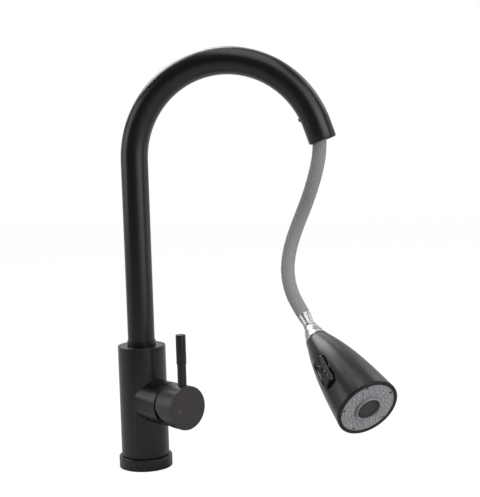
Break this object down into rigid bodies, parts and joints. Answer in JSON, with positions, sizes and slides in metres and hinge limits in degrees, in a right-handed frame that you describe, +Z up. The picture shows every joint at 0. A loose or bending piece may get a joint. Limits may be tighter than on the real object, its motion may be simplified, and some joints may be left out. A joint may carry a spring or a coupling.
{
  "type": "pull down kitchen faucet",
  "caption": "Tall round kitchen faucet with a swan-neck swivel spout, side lever and a conical spray head pulled out on a braided hose.",
  "frame": {"origin": "centre of the base on the deck, where the faucet's foot stands", "axes": "+Z up along the body, +X along the spout's reach at rest, -Y to the side of the lever"},
  "size_m": [0.3043, 0.154, 0.4316],
  "materials": {
    "satin_black": "satin black paint on brass",
    "satin_grey": "satin black-brown paint on plastic and metal",
    "gloss_black": "glossy black plastic",
    "black_plastic": "moulded",
    "rubber": "matte black rubber",
    "grey_rubber": "soft grey silicone",
    "grey_plastic": "fine satin grey",
    "white_plastic": "moulded",
    "red_plastic": "glossy",
    "dark_mesh": "fine wire mesh",
    "brass": "machined",
    "steel": "machined",
    "chrome": "bright chrome",
    "hose_braid": "fine grey nylon braid"
  },
  "bodies": {
    "base": {"base_ring": "satin_black", "base_seal": "rubber", "body": "satin_black", "body_gasket": "rubber", "thrust_washer": "white_plastic", "spout_bush": "gloss_black", "spout_grub_screw": "steel", "cartridge_body": "white_plastic", "cartridge_seals": "rubber", "cartridge_nut": "brass", "valve_dome": "satin_black"},
    "mixer": {"cartridge_rotor": "white_plastic", "stem_pin": "steel"},
    "handle": {"cartridge_stem": "brass", "handle_cap": "satin_black", "lever_rod": "satin_black", "lever_grip": "satin_black", "handle_set_screw": "steel", "index_plug": "red_plastic"},
    "spout": {"spout_tube": "satin_black", "spout_tail": "brass", "tail_rings": "rubber", "end_guide": "gloss_black", "dock_screw": "gloss_black", "inner_hose": "hose_braid", "hose_coupling": "chrome", "hose": "hose_braid"},
    "hose_end": {"hose_ferrule": "chrome", "hose_tail": "rubber", "hose_nipple": "brass"},
    "ball": {"swivel_ball": "chrome", "swivel_collar": "chrome"},
    "seat": {"swivel_seat": "white_plastic"},
    "head": {"head_shell": "satin_grey", "head_core": "black_plastic", "check_valve": "white_plastic", "diverter_body": "white_plastic", "button_bezel": "gloss_black", "button_pin": "steel", "face_rim": "gloss_black", "face_plate": "grey_plastic", "nozzle_mat": "grey_rubber", "aerator_ring": "grey_plastic", "aerator_mesh": "dark_mesh"},
    "button": {"mode_button": "gloss_black"},
    "spool": {"diverter_spool": "brass"}
  },
  "joints": [
    {"name": "spout_swivel", "type": "hinge", "parent": "base", "child": "spout", "pos_m": [0, 0, 0.12], "axis": [0, 0, 1], "continuous": true},
    {"name": "lever_turn", "type": "hinge", "parent": "base", "child": "mixer", "pos_m": [0, 0, 0.0722], "axis": [0.8329, -0.5534, 0], "range_deg": [-45, 45]},
    {"name": "lever_tilt", "type": "hinge", "parent": "mixer", "child": "handle", "pos_m": [0.03831, -0.02546, 0.0722], "axis": [0.5534, 0.8329, 0], "range_deg": [0, 25]},
    {"name": "hose_pull", "type": "slide", "parent": "spout", "child": "hose_end", "axis": [-0.1448, -0.0616, -0.9875], "range_m": [-0.09, 0.25], "deforming": ["hose"]},
    {"name": "hose_swivel", "type": "hinge", "parent": "hose_end", "child": "ball", "pos_m": [0.1938, -0.0374, 0.1427], "axis": [0.4973, -0.6141, -0.6129], "continuous": true},
    {"name": "head_tilt", "type": "hinge", "parent": "ball", "child": "seat", "pos_m": [0.1938, -0.0374, 0.1427], "axis": [0.7513, 0.66, 0], "range_deg": [-6, 22]},
    {"name": "head_spin", "type": "hinge", "parent": "seat", "child": "head", "pos_m": [0.1938, -0.0374, 0.1427], "axis": [0.575, -0.6545, -0.4909], "continuous": true},
    {"name": "button_rock", "type": "hinge", "parent": "head", "child": "button", "pos_m": [0.21043, -0.08952, 0.12311], "axis": [0.5509, -0.1338, 0.8237], "range_deg": [0, 7]},
    {"name": "spool_slide", "type": "slide", "parent": "head", "child": "spool", "axis": [0.4695, -0.7663, -0.4385], "range_m": [-0.000757, 0]}
  ],
  "couplings": [
    {"joint": "button_rock", "follows": "spool_slide", "rad_per_m": -161.3}
  ]
}
